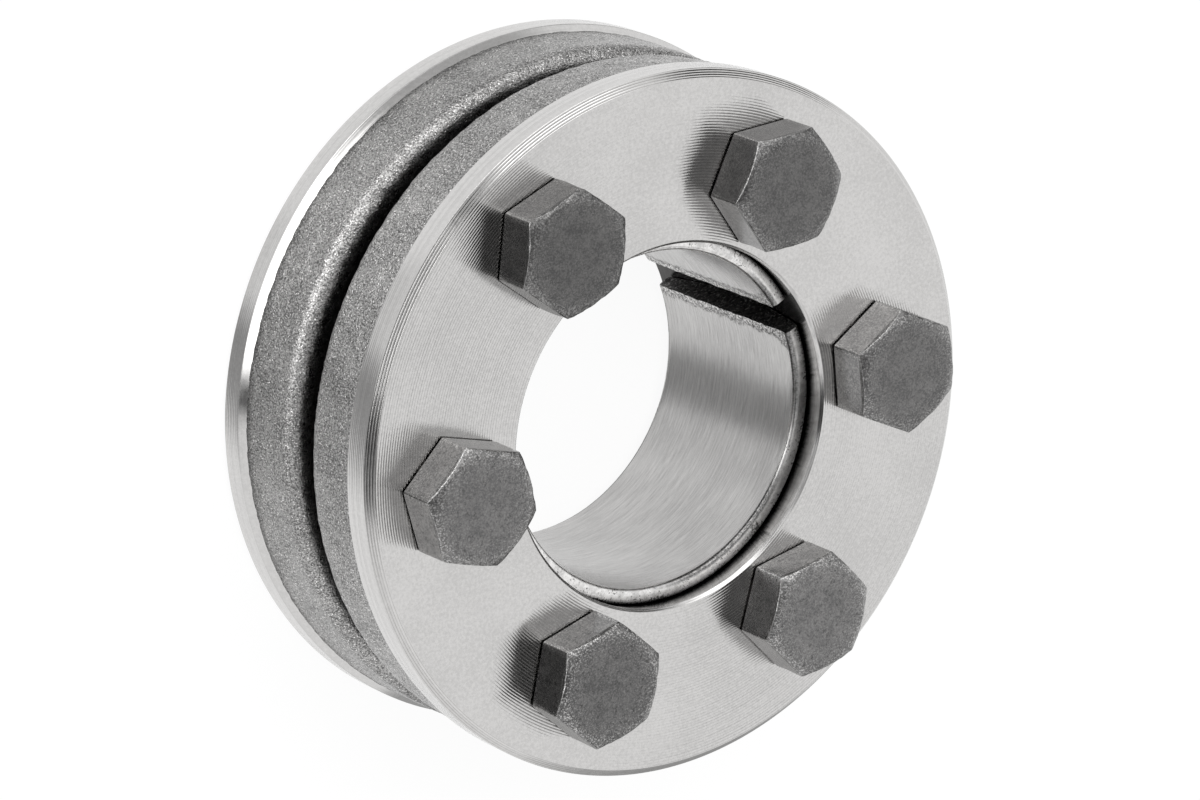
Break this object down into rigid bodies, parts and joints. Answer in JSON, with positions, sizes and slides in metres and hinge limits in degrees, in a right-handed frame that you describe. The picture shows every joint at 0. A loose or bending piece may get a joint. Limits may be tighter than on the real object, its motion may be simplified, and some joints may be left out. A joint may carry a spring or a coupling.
{
  "type": "shrink disc",
  "caption": "Three-part shrink disc: two thrust rings drawn together by hexagon bolts over a slit, double-tapered inner ring, to clamp a hollow shaft onto a solid one.",
  "frame": {"origin": "centre of the rear thrust ring's outer face, on which the disc rests", "axes": "+Z along the bore axis from the rear ring to the bolt heads, +X through the axis of clamping bolt 1"},
  "size_m": [0.05, 0.05, 0.0217],
  "materials": {
    "ring_steel": "satin",
    "inner_ring_steel": "satin",
    "bolt_steel": "matte"
  },
  "bodies": {
    "rear_ring": {"rear_thrust_ring": "ring_steel"},
    "sleeve": {"inner_ring": "inner_ring_steel"},
    "front_ring": {"front_thrust_ring": "ring_steel"},
    "bolt_1": {"clamping_bolt_1": "bolt_steel"},
    "bolt_2": {"clamping_bolt_2": "bolt_steel"},
    "bolt_3": {"clamping_bolt_3": "bolt_steel"},
    "bolt_4": {"clamping_bolt_4": "bolt_steel"},
    "bolt_5": {"clamping_bolt_5": "bolt_steel"},
    "bolt_6": {"clamping_bolt_6": "bolt_steel"}
  },
  "joints": [
    {"name": "front_ring_travel", "type": "slide", "parent": "rear_ring", "child": "front_ring", "axis": [0, 0, 1], "range_m": [-0.0006, 0.003]},
    {"name": "inner_ring_centring", "type": "slide", "parent": "rear_ring", "child": "sleeve", "axis": [0, 0, 1], "range_m": [-0.0003, 0.0015]},
    {"name": "bolt_1_turn", "type": "hinge", "parent": "front_ring", "child": "bolt_1", "pos_m": [0.018, 0, 0.0182], "axis": [0, 0, 1], "range_deg": [-270, 1350]},
    {"name": "bolt_2_turn", "type": "hinge", "parent": "front_ring", "child": "bolt_2", "pos_m": [0.009, 0.01559, 0.0182], "axis": [0, 0, 1], "range_deg": [-270, 1350]},
    {"name": "bolt_3_turn", "type": "hinge", "parent": "front_ring", "child": "bolt_3", "pos_m": [-0.009, 0.01559, 0.0182], "axis": [0, 0, 1], "range_deg": [-270, 1350]},
    {"name": "bolt_4_turn", "type": "hinge", "parent": "front_ring", "child": "bolt_4", "pos_m": [-0.018, 0, 0.0182], "axis": [0, 0, 1], "range_deg": [-270, 1350]},
    {"name": "bolt_5_turn", "type": "hinge", "parent": "front_ring", "child": "bolt_5", "pos_m": [-0.009, -0.01559, 0.0182], "axis": [0, 0, 1], "range_deg": [-270, 1350]},
    {"name": "bolt_6_turn", "type": "hinge", "parent": "front_ring", "child": "bolt_6", "pos_m": [0.009, -0.01559, 0.0182], "axis": [0, 0, 1], "range_deg": [-270, 1350]}
  ],
  "couplings": [
    {"joint": "inner_ring_centring", "follows": "front_ring_travel", "ratio": 0.5},
    {"joint": "bolt_1_turn", "follows": "front_ring_travel", "rad_per_m": 7854},
    {"joint": "bolt_2_turn", "follows": "front_ring_travel", "rad_per_m": 7854},
    {"joint": "bolt_3_turn", "follows": "front_ring_travel", "rad_per_m": 7854},
    {"joint": "bolt_4_turn", "follows": "front_ring_travel", "rad_per_m": 7854},
    {"joint": "bolt_5_turn", "follows": "front_ring_travel", "rad_per_m": 7854},
    {"joint": "bolt_6_turn", "follows": "front_ring_travel", "rad_per_m": 7854}
  ]
}
